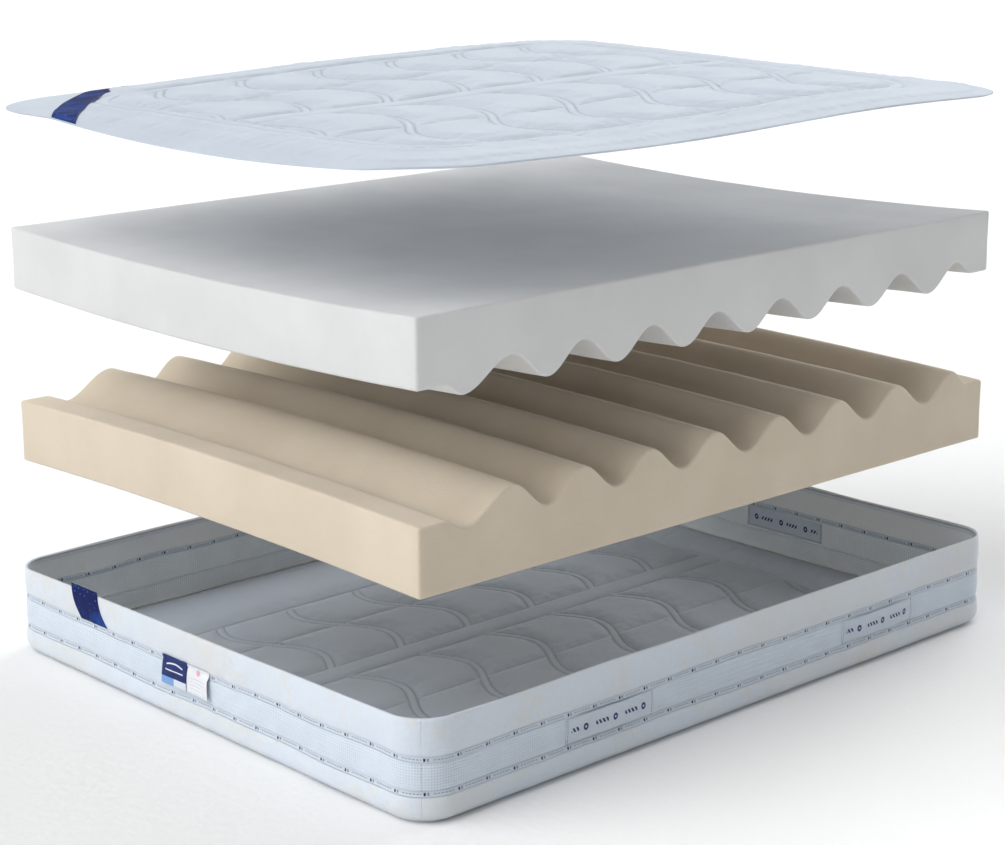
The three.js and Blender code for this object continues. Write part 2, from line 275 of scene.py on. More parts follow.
class Look:
    """A material being made. Its methods add nodes and give back the socket with their result."""

    def __init__(self, name, **values):
        self.material = bpy.data.materials.new(name)
        self.material.use_nodes = True
        self.tree = self.material.node_tree
        self.shader = self.tree.nodes["Principled BSDF"]
        self.shade(**values)

    def put(self, socket, value):
        """Links another node's socket to an input, or sets a number or colour on it."""
        if isinstance(value, bpy.types.NodeSocket):
            self.tree.links.new(value, socket)
        elif socket.type == "RGBA":
            socket.default_value = (*value, 1)
        else:
            socket.default_value = value

    def shade(self, **values):
        """Sets the shader's inputs, named with _ for a space."""
        for name, value in values.items():
            self.put(self.shader.inputs[name.replace("_", " ")], value)

    def node(self, kind, inputs, **settings):
        node = self.tree.nodes.new("ShaderNode" + kind)
        for name, value in settings.items():
            setattr(node, name, value)
        for name, value in inputs.items():
            self.put(node.inputs[name], value)
        return node

    def math(self, operation, a, b=0.0):
        return self.node("Math", {0: a, 1: b}, operation=operation).outputs[0]

    def plus(self, a, b):
        return self.math("ADD", a, b)

    def minus(self, a, b):
        return self.math("SUBTRACT", a, b)

    def times(self, *values):
        """The values' product: of shares, where all of them are 1."""
        product = values[0]
        for value in values[1:]:
            product = self.math("MULTIPLY", product, value)
        return product

    def either(self, *shares):
        """Where any of the shares is 1."""
        largest = shares[0]
        for share in shares[1:]:
            largest = self.math("MAXIMUM", largest, share)
        return largest

    def wave(self, value, period):
        """Sine of the value, with this period."""
        return self.math("SINE", self.times(value, 2 * math.pi / period))

    def fade(self, value, start, end, low=0.0, high=1.0):
        """Goes smoothly from low where value is start to high where it is end."""
        inputs = {"Value": value, "From Min": start, "From Max": end, "To Min": low, "To Max": high}
        return self.node("MapRange", inputs, interpolation_type="SMOOTHSTEP").outputs[0]

    def mark(self, value, centre, width, soft=0.0004):
        """1 where value is within width / 2 of centre, and 0 past soft beyond that."""
        away = self.math("ABSOLUTE", self.minus(value, centre))
        return self.fade(away, width / 2 + soft, width / 2 - soft)

    def every(self, value, period):
        """Where value is in its period, from 0 to period."""
        return self.math("FLOORED_MODULO", value, period)

    def mix(self, share, a, b):
        return self.node("Mix", {0: share, 6: a, 7: b}, data_type="RGBA").outputs[2]

    def place(self):
        """The point on the piece, in metres."""
        return self.node("TexCoord", {}).outputs["Object"]

    def along_across(self):
        """Metres along a band and across it, from the piece's UV layer."""
        split = self.node("SeparateXYZ", {0: self.node("UVMap", {}, uv_map="band").outputs[0]})
        return split.outputs[0], split.outputs[1]

    def noise(self, size, detail=2.0):
        """Cloudy noise from 0 to 1, with blots about size metres across."""
        inputs = {"Vector": self.place(), "Scale": 1 / size, "Detail": detail}
        return self.node("TexNoise", inputs).outputs[0]

    def cells(self, size):
        """Outputs of a pattern of cells about size metres across."""
        return self.node("TexVoronoi", {"Vector": self.place(), "Scale": 1 / size}).outputs

    def bump(self, height, depth, before=None):
        """Roughens the surface by a height from 0 to 1 that stands for depth metres."""
        inputs = {"Height": height, "Distance": depth}
        if before:
            inputs["Normal"] = before
        return self.node("Bump", inputs).outputs[0]

    def weave(self, pitch):
        """Over-and-under threads, from 0 to 1, with one thread for each pitch."""
        split = self.node("SeparateXYZ", {0: self.place()})
        x, y, z = (self.wave(axis, pitch) for axis in split.outputs)
        crossed = self.plus(self.times(x, y), self.times(z, self.plus(x, y)))
        return self.fade(crossed, -1.0, 1.0)


def cloth_bumps(look, pitch, depth=0.0004):
    """A weave, and the slight unevenness of cloth that has been handled."""
    handled = look.bump(look.noise(0.03, 3.0), 0.0016)
    return look.bump(look.weave(pitch), depth, handled)


def quilt_look(name, light, dark, thread):
    """Knitted ticking with stitch lines, drawn where the piece's "band" layer says they are.

    The thread is dark, and pale where the metres along it start at PALE.
    """
    look = Look(name, Roughness=0.85, Sheen_Weight=0.25, Sheen_Roughness=0.5, Specular_IOR_Level=0.25)
    off, along = look.along_across()
    pale = look.fade(along, PALE / 2, PALE / 2 + 1)
    thread = look.mix(pale, thread, tuple(1.12 * part for part in light))
    line = look.mark(off, 0.0, 0.0022, 0.0006)
    stitch = look.fade(look.every(along, 0.006), 0.0022, 0.0014)
    gap = look.minus(1.0, look.times(stitch, 0.6))
    thread_share = look.times(line, gap)
    groove = look.fade(look.math("ABSOLUTE", off), 0.006, 0.0)
    knit = look.mix(look.noise(0.012, 4.0), light, dark)
    cloudy = look.mix(look.fade(look.noise(0.16, 2.0), 0.35, 0.75), knit, light)
    # Painted shade: the grooves beside the stitch lines are tinted toward the thread's colour. This darkens
    # them along dark thread, and lightens them along pale thread as painted light.
    groove_painted_shade = look.mix(look.times(groove, 0.35), cloudy, thread)
    look.shade(Base_Color=look.mix(look.times(thread_share, 0.75), groove_painted_shade, thread))
    cloth = cloth_bumps(look, 0.0024)
    ribs = look.bump(look.cells(0.006)["Distance"], 0.0004, cloth)
    sunk = look.bump(look.minus(1.0, groove), 0.0022, ribs)
    look.shade(Normal=look.bump(thread_share, 0.0008, sunk))
    return look.material


def border_look(name, light, dark, motif):
    """Knitted border fabric with a faint woven-in pattern of warm blots and petals."""
    look = Look(name, Roughness=0.85, Sheen_Weight=0.2, Sheen_Roughness=0.5, Specular_IOR_Level=0.25)
    blots = look.fade(look.noise(0.035, 3.0), 0.46, 0.60)
    strokes = look.mark(look.noise(0.05, 1.0), 0.5, 0.047, 0.0115)
    spread = look.fade(look.noise(0.20, 1.0), 0.47, 0.60)
    pattern = look.times(look.either(blots, look.times(strokes, 0.7)), spread)
    knit = look.mix(look.noise(0.012, 4.0), light, dark)
    cloudy = look.mix(look.fade(look.noise(0.35, 2.0), 0.4, 0.65, 0.0, 0.35), knit, motif)
    look.shade(Base_Color=look.mix(look.times(pattern, 0.42), cloudy, motif))
    cloth = cloth_bumps(look, 0.0024)
    look.shade(Normal=look.bump(pattern, 0.0006, cloth))
    return look.material


def mesh_look(name, light, dark):
    """Spacer mesh: rows of small holes through a raised knit, plainer in places, with painted shade in the
    holes.
    """
    look = Look(name, Roughness=0.8, Sheen_Weight=0.2, Specular_IOR_Level=0.3)
    along, up = look.along_across()
    across, upward = look.wave(along, 0.0065), look.wave(up, 0.0065)
    hole = look.times(look.fade(across, -0.1, 0.7), look.fade(upward, -0.1, 0.7))
    shown = look.fade(look.noise(0.10, 2.0), 0.36, 0.60, 0.15, 0.65)
    rib = look.fade(look.every(up, 0.013), 0.0014, 0.0004)
    solid = look.mix(look.noise(0.05, 3.0), light, dark)
    # Painted shade: the holes are coloured dark for the shade inside them.
    painted_hole_shade = look.mix(look.times(hole, shown), solid, (0.40, 0.46, 0.51))
    look.shade(Base_Color=look.mix(look.times(rib, 0.25), painted_hole_shade, (0.84, 0.88, 0.92)))
    uneven = look.bump(look.noise(0.03, 3.0), 0.0012)
    knit = look.bump(look.minus(1.0, hole), 0.0012, uneven)
    look.shade(Normal=look.bump(rib, 0.0005, knit))
    return look.material


def tape_look():
    """Woven tape: a row of fine broken dashes, and every 83 mm a pair of small navy and grey blocks."""
    look = Look("woven_tape", Roughness=0.8, Sheen_Weight=0.2, Specular_IOR_Level=0.3)
    along, across = look.along_across()
    at = look.every(along, 0.083)
    edges = look.either(look.mark(across, 0.0016, 0.0010), look.mark(across, 0.0134, 0.0010))
    middle = look.mark(across, 0.0075, 0.0070)
    first = look.times(look.mark(at, 0.006, 0.0050), middle)
    second = look.times(look.mark(at, 0.014, 0.0050), middle)
    gaps = look.fade(look.every(at, 0.0087), 0.0064, 0.0056)
    row = look.times(look.mark(across, 0.0075, 0.0026), look.mark(at, 0.051, 0.050), gaps)
    white = look.mix(look.noise(0.02, 3.0), MESH_LIGHT, MESH_DARK)
    marked = look.mix(look.times(row, 0.70), white, THREAD_GREY)
    marked = look.mix(look.times(edges, 0.30), marked, THREAD_GREY)
    marked = look.mix(second, marked, (0.30, 0.32, 0.36))
    look.shade(Base_Color=look.mix(first, marked, NAVY))
    raised = look.either(first, second, row)
    look.shade(Normal=look.bump(raised, 0.0003, cloth_bumps(look, 0.0012, 0.0003)))
    return look.material


def strap_look():
    """Handle strap: white webbing with navy ovals and slanted dashes, and stitches across each end."""
    look = Look("handle_webbing", Roughness=0.75, Sheen_Weight=0.2, Specular_IOR_Level=0.3)
    along, across = look.along_across()
    at = look.every(look.plus(along, 0.142), 0.094)
    inner = look.mark(along, 0.0, 0.250, 0.001)
    x = look.math("DIVIDE", look.minus(at, 0.062), 0.0072)
    y = look.math("DIVIDE", across, 0.0085)
    reach = look.math("SQRT", look.plus(look.math("POWER", x, 2.0), look.math("POWER", y, 2.0)))
    oval = look.times(look.fade(reach, 1.08, 0.98), look.fade(reach, 0.30, 0.40))
    dash = look.times(look.mark(across, 0.0, 0.0105), look.mark(at, 0.018, 0.046))
    slanted = look.plus(at, look.times(across, 0.6))
    broken = look.times(dash, look.fade(look.every(slanted, 0.0115), 0.0070, 0.0062))
    motif = look.times(look.either(oval, broken), inner)
    end = look.mark(look.math("ABSOLUTE", along), 0.137, 0.0016)
    row = look.times(end, look.fade(look.every(across, 0.006), 0.0040, 0.0032))
    web = look.mix(look.noise(0.02, 3.0), MESH_LIGHT, MESH_DARK)
    look.shade(Base_Color=look.mix(look.either(motif, row), web, INK))
    ribs = look.fade(look.every(across, 0.003), 0.0006, 0.0015)
    look.shade(Normal=look.bump(ribs, 0.0004, cloth_bumps(look, 0.0015, 0.0003)))
    return look.material


def ribbon_look():
    """Navy satin with a scatter of light blue specks."""
    look = Look("navy_satin", Roughness=0.5, Specular_IOR_Level=0.08)
    along, across = look.along_across()
    specks = look.cells(0.010)
    chosen = look.fade(look.node("SeparateColor", {0: specks["Color"]}).outputs[0], 0.35, 0.45)
    speck = look.times(look.fade(specks["Distance"], 0.34, 0.14), chosen)
    satin = look.mix(look.fade(look.noise(0.07, 2.0), 0.40, 0.62), NAVY, (0.008, 0.045, 0.24))
    look.shade(Base_Color=look.mix(look.times(speck, 0.55), satin, (0.07, 0.22, 0.60)))
    threads = look.fade(look.wave(across, 0.0012), -1.0, 1.0)
    look.shade(Normal=look.bump(threads, 0.0002, look.bump(look.noise(0.03, 2.0), 0.001)))
    return look.material


def woven_label_look():
    """Navy damask label: a pale swoosh of line and a pale blue field below. Generic, with no words."""
    look = Look("woven_label_damask", Roughness=0.6, Specular_IOR_Level=0.3)
    along, across = look.along_across()
    curve = look.times(look.math("POWER", look.math("DIVIDE", along, 0.045), 2.0), -0.010)
    swoosh = look.times(look.mark(look.minus(across, curve), 0.019, 0.0035),
                       look.mark(along, 0.0, 0.064))
    rule = look.times(look.mark(across, 0.001, 0.003), look.mark(along, 0.0, 0.070))
    field = look.fade(across, -0.0165, -0.0175)
    split = look.mix(look.fade(along, -0.0005, 0.0005), (0.20, 0.38, 0.72), (0.70, 0.76, 0.84))
    damask = look.mix(look.noise(0.015, 2.0), NAVY, (0.018, 0.04, 0.20))
    lower = look.mix(field, damask, split)
    look.shade(Base_Color=look.mix(look.either(swoosh, rule), lower, (0.72, 0.78, 0.88)))
    look.shade(Normal=cloth_bumps(look, 0.0012, 0.0003))
    return look.material


def care_label_look():
    """White satin care label: thin grey lines in place of its print, and one small rose dot."""
    look = Look("care_label_satin", Roughness=0.55, Sheen_Weight=0.1, Specular_IOR_Level=0.45)
    along, across = look.along_across()
    lines = look.times(look.mark(look.every(across, 0.0085), 0.0042, 0.0014), look.mark(along, 0.0, 0.060),
                      look.fade(across, 0.009, 0.007))
    ragged = look.times(lines, look.fade(look.noise(0.011, 1.0), 0.40, 0.44))
    dot_x = look.math("DIVIDE", look.minus(along, -0.002), 0.0075)
    dot_y = look.math("DIVIDE", look.minus(across, 0.022), 0.0075)
    reach = look.plus(look.math("POWER", dot_x, 2.0), look.math("POWER", dot_y, 2.0))
    white = look.mix(look.noise(0.03, 2.0), (0.82, 0.83, 0.86), (0.74, 0.76, 0.80))
    printed = look.mix(look.times(ragged, 0.5), white, (0.30, 0.32, 0.36))
    dot = look.times(look.fade(reach, 1.1, 0.9), 0.8)
    look.shade(Base_Color=look.mix(dot, printed, (0.72, 0.30, 0.36)))
    look.shade(Normal=cloth_bumps(look, 0.001, 0.0002))
    return look.material


def foam_look(name, light, dark, cell):
    """Open-cell foam: fine pits and larger soft mottling, with a slight unevenness."""
    look = Look(name, Roughness=0.95, Specular_IOR_Level=0.2, Sheen_Weight=0.15, Sheen_Roughness=0.6)
    pits = look.cells(cell)["Distance"]
    mottle = look.mix(look.fade(look.noise(0.22, 3.0), 0.3, 0.7), light, dark)
    speckled = look.mix(look.fade(pits, 0.25, 0.75, 0.0, 0.22), mottle, dark)
    look.shade(Base_Color=speckled)
    soft = look.bump(look.noise(0.05, 3.0), 0.0012)
    fine = look.bump(look.noise(cell, 3.0), 0.0007, soft)
    look.shade(Normal=look.bump(pits, 0.0006, fine))
    return look.material


def plain_cloth(name, light, dark, pitch=0.002):
    look = Look(name, Roughness=0.9, Sheen_Weight=0.2, Specular_IOR_Level=0.25)
    look.shade(Base_Color=look.mix(look.noise(0.02, 4.0), light, dark))
    look.shade(Normal=cloth_bumps(look, pitch))
    return look.material


def zip_tape_look():
    """Twill tape with a nylon coil along it, as a row of small ribs."""
    look = Look("zip_coil_tape", Roughness=0.55, Specular_IOR_Level=0.4)
    along, across = look.along_across()
    coil = look.mark(across, 0.0105, 0.0042, 0.0004)
    teeth = look.fade(look.wave(along, 0.0028), -0.4, 0.6)
    twill = look.wave(look.plus(along, across), 0.0016)
    tape = look.mix(look.noise(0.02, 3.0), (0.74, 0.77, 0.81), (0.66, 0.69, 0.74))
    # Painted shade: the gaps between the coil's teeth are coloured dark grey.
    shade_between_teeth = look.times(coil, look.minus(1.0, teeth))
    look.shade(Base_Color=look.mix(shade_between_teeth, tape, (0.30, 0.32, 0.36)))
    ribbed = look.bump(look.fade(twill, -1.0, 1.0), 0.0002)
    look.shade(Normal=look.bump(look.times(coil, teeth), 0.0008, ribbed))
    return look.material


def metal_look():
    """Nickel-plated zinc with fine scratches."""
    look = Look("zip_nickel", Metallic=0.9)
    worn = look.noise(0.004, 4.0)
    look.shade(Base_Color=look.mix(worn, (0.62, 0.63, 0.65), (0.50, 0.51, 0.53)))
    look.shade(Roughness=look.fade(worn, 0.3, 0.7, 0.24, 0.42))
    look.shade(Normal=look.bump(look.noise(0.0015, 3.0), 0.0001))
    return look.material


PANEL_TICKING = quilt_look("panel_ticking", (0.54, 0.595, 0.665), (0.48, 0.535, 0.61), (0.36, 0.40, 0.46))
BASE_TICKING = quilt_look("base_ticking", (0.66, 0.71, 0.78), (0.58, 0.64, 0.72), (0.42, 0.46, 0.53))
LINING = quilt_look("tray_lining", (0.47, 0.53, 0.61), (0.43, 0.485, 0.56), (0.30, 0.34, 0.40))
BORDER = border_look("border_knit", (0.69, 0.75, 0.82), (0.63, 0.69, 0.765), (0.70, 0.67, 0.61))
# Painted light: the inside copies are the same fabrics made lighter, to brighten the inner walls that lie in
# shade under the foam.
BORDER_INSIDE_PAINTED_LIGHT = border_look("border_knit_inside_painted_light", (0.84, 0.88, 0.91), (0.78, 0.82, 0.86), (0.80, 0.78, 0.73))
MESH = mesh_look("spacer_mesh", MESH_LIGHT, MESH_DARK)
MESH_INSIDE_PAINTED_LIGHT = mesh_look("spacer_mesh_inside_painted_light", (0.84, 0.885, 0.91), (0.78, 0.83, 0.86))
TAPE = tape_look()
STRAP = strap_look()
RIBBON = ribbon_look()
WOVEN_LABEL = woven_label_look()
CARE_LABEL = care_label_look()
MEMORY_FOAM = foam_look("memory_foam", (0.67, 0.67, 0.665), (0.62, 0.62, 0.615), 0.0016)
CORE_FOAM = foam_look("core_foam", (0.64, 0.555, 0.44), (0.59, 0.505, 0.395), 0.0024)
BACKING = plain_cloth("backing_cloth", (0.70, 0.75, 0.82), (0.64, 0.69, 0.77), 0.003)
PIPING = plain_cloth("seam_piping", (0.88, 0.90, 0.92), (0.80, 0.83, 0.86), 0.0014)
ZIP_TAPE = zip_tape_look()
NICKEL = metal_look()


# ---------------------------------------------------------------- foam layers

FILLET = 7 * MM  # soft edge of the cut foam
CREST_PITCH = 225 * MM


def wave_height(x, rise):
    """Height of a foam layer's wavy face above its plain end strips, as the CAD draws it."""
    places, levels = [-915 * MM, -858 * MM], [0.0, rise - 33 * MM]
    for half_wave in range(15):
        drift = 20 * MM * math.sin(math.pi * half_wave / 14)
        places.append(-716 * MM + CREST_PITCH * half_wave / 2 - drift)
        levels.append(rise + (33 * MM if half_wave % 2 == 0 else -33 * MM))
    places.append(925 * MM)
    levels.append(0.0)
    k = np.clip(np.searchsorted(places, x) - 1, 0, len(places) - 2)
    places, levels = np.array(places), np.array(levels)
    share = np.clip((x - places[k]) / (places[k + 1] - places[k]), 0, 1)
    return levels[k] + (levels[k + 1] - levels[k]) * (1 - np.cos(math.pi * share)) / 2


def edge_lines(half, step):
    """Grid lines from -half to half, closer together over the soft edges."""
    turn = np.linspace(0, math.pi / 2, 5)[:-1]
    edge = half - FILLET * (1 - np.cos(turn))
    inner = half - FILLET
    count = int(round(2 * inner / step)) + 1
    return np.concatenate([-edge, np.linspace(-inner, inner, count), edge[::-1]])


def make_foam(name, node, body, look, wavy, flat, rise, bow, seed):
    """A foam layer: one wavy and one flat face at heights wavy and flat, bowed along the width."""
    x, y = np.meshgrid(edge_lines(FOAM_X, 9 * MM), edge_lines(FOAM_Y, 24 * MM))
    x, y = round_corners(x, y, FOAM_X, FOAM_Y, 9 * MM)
    inside = np.clip(inside_by(x, y, FOAM_X, FOAM_Y, 9 * MM), 0, FILLET)
    drop = FILLET - np.sqrt(FILLET ** 2 - (FILLET - inside) ** 2)
    bowed = bow * (1 - (y / FOAM_Y) ** 2)
    uneven = 1.2 * MM * ripple(x, y, 0.5, seed)
    wave = wavy + wave_height(x, rise) + bowed + uneven
    plain = flat + bowed + 0.8 * MM * ripple(x, y, 0.6, seed + 1)
    if wavy > flat:
        top, bottom = wave - drop, plain + drop
    else:
        top, bottom = plain - drop, wave + drop
    verts, faces = slab(np.stack([x, y, top], -1), np.stack([x, y, bottom], -1), [(0.5, -0.8 * MM)])
    obj = piece(name, verts, faces, body, [node], look)


def make_foams():
    flat, _ = heights("core_foam_layer")
    make_foam("core_foam", "core_foam_layer", "core", CORE_FOAM,
              flat + 160 * MM, flat, 10 * MM, 14 * MM, 11)
    _, top = heights("memory_foam_layer")
    make_foam("memory_foam", "memory_foam_layer", "comfort", MEMORY_FOAM,
              top - 158 * MM, top, 4 * MM, -20 * MM, 21)


# ---------------------------------------------------------------- quilting


class Quilting:
    """Where the stitch lines of a quilted field run.

    Rows of S-curves run across between sewn channels, with a straight line half way between
    channels. Each S-curve is a double line. Another frames the field, 2 x frame wide.
    """

    def __init__(self, half_x, half_y, corner, middle_y, channel_gap, first_x, pitch, swing, frame):
        self.half_x, self.half_y, self.corner = half_x, half_y, corner
        self.middle_y, self.channel_gap = middle_y, channel_gap
        self.first_x, self.pitch, self.swing = first_x, pitch, swing
        self.frame = frame

    def strips(self, x, y):
        """For each kind of double line: distance from its middle, half its width, and metres along it."""
        across = np.abs(y - self.middle_y)
        row = self.channel_gap - 2 * CHANNEL
        turn = 2 * math.pi / row
        in_row = across % self.channel_gap - CHANNEL
        from_channel = np.abs((across + self.channel_gap / 2) % self.channel_gap - self.channel_gap / 2)
        sway = self.swing * np.sin(turn * in_row)
        slope = self.swing * turn * np.cos(turn * in_row)
        beside = (x - self.first_x - sway + self.pitch / 2) % self.pitch - self.pitch / 2
        curve = np.abs(beside) / np.sqrt(1 + slope ** 2)
        curve = np.where(from_channel < CHANNEL, 1.0, curve)
        middle = np.abs(self.channel_gap / 2 - from_channel)
        found = [(from_channel, CHANNEL, x + PALE), (curve, CURVE, y * 1.3), (middle, SINGLE, x + PALE)]
        inside = inside_by(x, y, self.half_x, self.half_y, self.corner)
        found = [(np.where(inside > 0, away, 1.0), half, along) for away, half, along in found]
        found.append((np.abs(inside + self.frame), self.frame, x + y + PALE))
        return found

    def at(self, x, y):
        """Distance out from the nearest double line, its half width, and metres along it.

        The distance is negative between the two lines.
        """
        off = np.full(x.shape, 9.0)
        width, along = np.zeros(x.shape), np.zeros(x.shape)
        for away, half, run in self.strips(x, y):
            nearer = away - half < off
            off = np.where(nearer, away - half, off)
            width = np.where(nearer, half, width)
            along = np.where(nearer, run, along)
        return off, width, along

    def puff(self, x, y, full):
        """Height of the padding above its stitch lines, up to full, with at()'s distance and metres along."""
        off, width, along = self.at(x, y)
        loose = np.where(width == SINGLE, 9 * MM, 0)
        pillow = full * (1 - np.exp(-(np.maximum(off, 0) + loose) / (16 * MM)))
        ridge = np.where(off < 0, 1 - (1 + off / np.maximum(width, 1e-6)) ** 4, 0)
        return pillow + ridge * np.minimum(width * 0.28, full * 0.9), off, along


CHANNEL = 40 * MM  # half of the space between a channel's two lines
CURVE = 11 * MM  # and between the two lines of an S-curve
SINGLE = 2 * MM
PANEL_QUILT = Quilting(half_x=830 * MM, half_y=640 * MM, corner=130 * MM, middle_y=0.0,
                       channel_gap=680 * MM, first_x=-870 * MM, pitch=255 * MM, swing=78 * MM, frame=18 * MM)
FLOOR_QUILT = Quilting(half_x=850 * MM, half_y=526 * MM, corner=60 * MM, middle_y=42 * MM,
                       channel_gap=566 * MM, first_x=-310 * MM, pitch=235 * MM, swing=52 * MM, frame=3 * MM)


def make_quilt(name, nodes, body, look, top, bottom, off, along):
    """A padded quilt between two grids of points, with its stitch lines in the "band" layer."""
    verts, faces = slab(top, bottom)
    flat = np.stack([off, along], -1).reshape(-1, 2)
    obj = piece(name, verts, faces, body, nodes, look, np.concatenate([flat, flat]))
    return obj


def swell(x, y, top, sewn, most):
    """How far, up to most, the padding pushes a quilt's cover up and creases it, from a cloth simulation.

    The cloth has every second point of the grid, is cut a little too long, and is held where it is sewn.
    """
    coarse = np.stack([x, y, top], -1)[::2, ::2]
    rows, columns, _ = coarse.shape
    mesh = bpy.data.meshes.new("swelling_cloth")
    mesh.from_pydata(coarse.reshape(-1, 3).tolist(), [], quads(rows, columns))
    obj = bpy.data.objects.new("swelling_cloth", mesh)
    bpy.context.scene.collection.objects.link(obj)
    held = obj.vertex_groups.new(name="sewn")
    held.add(np.flatnonzero(sewn[::2, ::2]).tolist(), 1.0, "REPLACE")
    cloth = obj.modifiers.new("cloth", "CLOTH")
    cloth.settings.vertex_group_mass = "sewn"
    cloth.settings.quality = 5
    cloth.settings.mass = 0.2
    cloth.settings.use_pressure = True
    cloth.settings.uniform_pressure_force = 1.5
    cloth.settings.shrink_min = -0.012
    cloth.settings.effector_weights.gravity = 0
    cloth.collision_settings.use_collision = False
    for step in range(1, 21):
        bpy.context.scene.frame_set(step)
    evaluated = obj.evaluated_get(bpy.context.evaluated_depsgraph_get()).data
    settled = np.empty(3 * rows * columns, np.float32)
    evaluated.vertices.foreach_get("co", settled)
    risen = settled.reshape(rows, columns, 3)[..., 2] - coarse[..., 2]
    bpy.data.objects.remove(obj)
    bpy.data.meshes.remove(mesh)
    bpy.context.scene.frame_set(1)
    return between(np.clip(risen, -0.4 * most, most), top.shape)


def between(coarse, shape):
    """Values at every second point of a grid, filled in half way between them."""
    fine = np.empty(shape)
    fine[::2, ::2] = coarse
    fine[1::2, ::2] = (coarse[1:] + coarse[:-1]) / 2
    fine[:, 1::2] = (fine[:, 2::2] + fine[:, :-2:2]) / 2
    return fine


# ---------------------------------------------------------------- top panel


def panel_lift(x, y):
    """How the unzipped panel hangs: up towards the head and the left, down at two corners and the foot."""
    a = (x / PANEL_X + y / PANEL_Y) / 2
    b = (x / PANEL_X - y / PANEL_Y) / 2
    head_swell = np.exp(-((x - 450 * MM) / (600 * MM)) ** 2)
    tilt = y / PANEL_Y * np.exp(-((x + 200 * MM) / (500 * MM)) ** 2)
    past = np.clip((-x - 860 * MM) / (180 * MM), 0, 1) ** 2.5
    droop = past * np.clip(1 - ((y + 150 * MM) / (650 * MM)) ** 2, 0, 1)
    return (16 * a + 12 * a ** 2 - 8 * b ** 2 + 15 * head_swell + 10 * tilt - 28 * droop) * MM


def lies_flatter_when_closed(obj):
    """Gives the piece a mesh of its own; the panel's bow, which comes from hanging free, stays as it is."""
    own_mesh(obj)


def panel_height(x, y):
    """Top of the quilted panel at rest, and where its stitch lines are."""
    puff, off, along = PANEL_QUILT.puff(x, y, 10 * MM)
    edge = inside_by(x, y, PANEL_X, PANEL_Y, PANEL_CORNER)
    thick = 1.4 * MM + 7 * MM * (1 - np.exp(-np.maximum(edge, 0) / (30 * MM)))
    field = np.clip((inside_by(x, y, 870 * MM, 680 * MM, 170 * MM) + 60 * MM) / (60 * MM), 0, 1)
    wavy = 2.2 * MM * ripple(x, y, 0.42, 3) + 0.8 * MM * ripple(x, y, 0.13, 4)
    height = PANEL_PLY + 0.4 * MM + thick + puff * field + wavy * np.clip(edge / 0.05, 0.3, 1)
    return height + panel_lift(x, y), off, along


def make_panel():
    x, y = rounded_grid(PANEL_X, PANEL_Y, PANEL_CORNER, 6.5 * MM)
    top, off, along = panel_height(x, y)
    edge = inside_by(x, y, PANEL_X, PANEL_Y, PANEL_CORNER)
    sewn = (off < 5 * MM) | (edge < 40 * MM) | under_corner_ribbon(x, y)
    top = top + swell(x, y, top, sewn, 4 * MM) * np.clip(off / (12 * MM), 0, 1)
    bottom = PANEL_PLY + 0.4 * MM + panel_lift(x, y)
    top, bottom = np.stack([x, y, top], -1), np.stack([x, y, bottom], -1)
    quilt = make_quilt("panel_quilt", ["top_ticking", "top_wadding"], "panel",
                       PANEL_TICKING, top, bottom, off, along)
    lies_flatter_when_closed(quilt)
    inset = 6 * MM
    x, y = rounded_grid(PANEL_X - inset, PANEL_Y - inset, PANEL_CORNER - inset, 40 * MM)
    z = PANEL_PLY + panel_lift(x, y)
    verts, faces = slab(np.stack([x, y, z], -1), np.stack([x, y, z - 2 * MM], -1))
    backing = piece("panel_backing", verts, faces, "panel", ["top_backing"], BACKING)
    lies_flatter_when_closed(backing)


def under_corner_ribbon(x, y):
    """Where the corner ribbon, or its sewn edge, lies on the panel."""
    from_corner = (x + PANEL_X) / (380 * MM) + (PANEL_Y - y) / (480 * MM)
    return from_corner < 1.1


def make_corner_ribbon():
    """The ribbon over the corner at the foot on the left, between two bowed lines."""
    foot, left = -PANEL_X + 4 * MM, PANEL_Y - 4 * MM
    t = np.linspace(0, 1, 60)[:, None]

    def bowed(foot_y, left_x):
        start, end = np.array([foot, foot_y]), np.array([left_x, left])
        middle = (start + end) / 2 + np.array([-24 * MM, 24 * MM])
        return (1 - t) ** 2 * start + 2 * t * (1 - t) * middle + t ** 2 * end

    near, far = bowed(385 * MM, -575 * MM), bowed(490 * MM, -685 * MM)
    share = np.linspace(0, 1, 14)[None, :, None]
    flat = near[:, None] * (1 - share) + far[:, None] * share
    x, y = flat[..., 0], flat[..., 1]
    top = panel_height(x, y)[0] + 1.2 * MM
    verts, faces = slab(np.stack([x, y, top], -1), np.stack([x, y, top - 0.7 * MM], -1))
    length = float(np.linalg.norm(np.diff(near, axis=0), axis=1).sum())
    uv = np.stack(np.broadcast_arrays(t * length, share[..., 0] * 0.1), -1).reshape(-1, 2)
    ribbon = piece("corner_ribbon_satin", verts, faces, "panel", ["corner_ribbon"], RIBBON,
                   np.concatenate([uv, uv]))
    lies_flatter_when_closed(ribbon)


# ---------------------------------------------------------------- cover


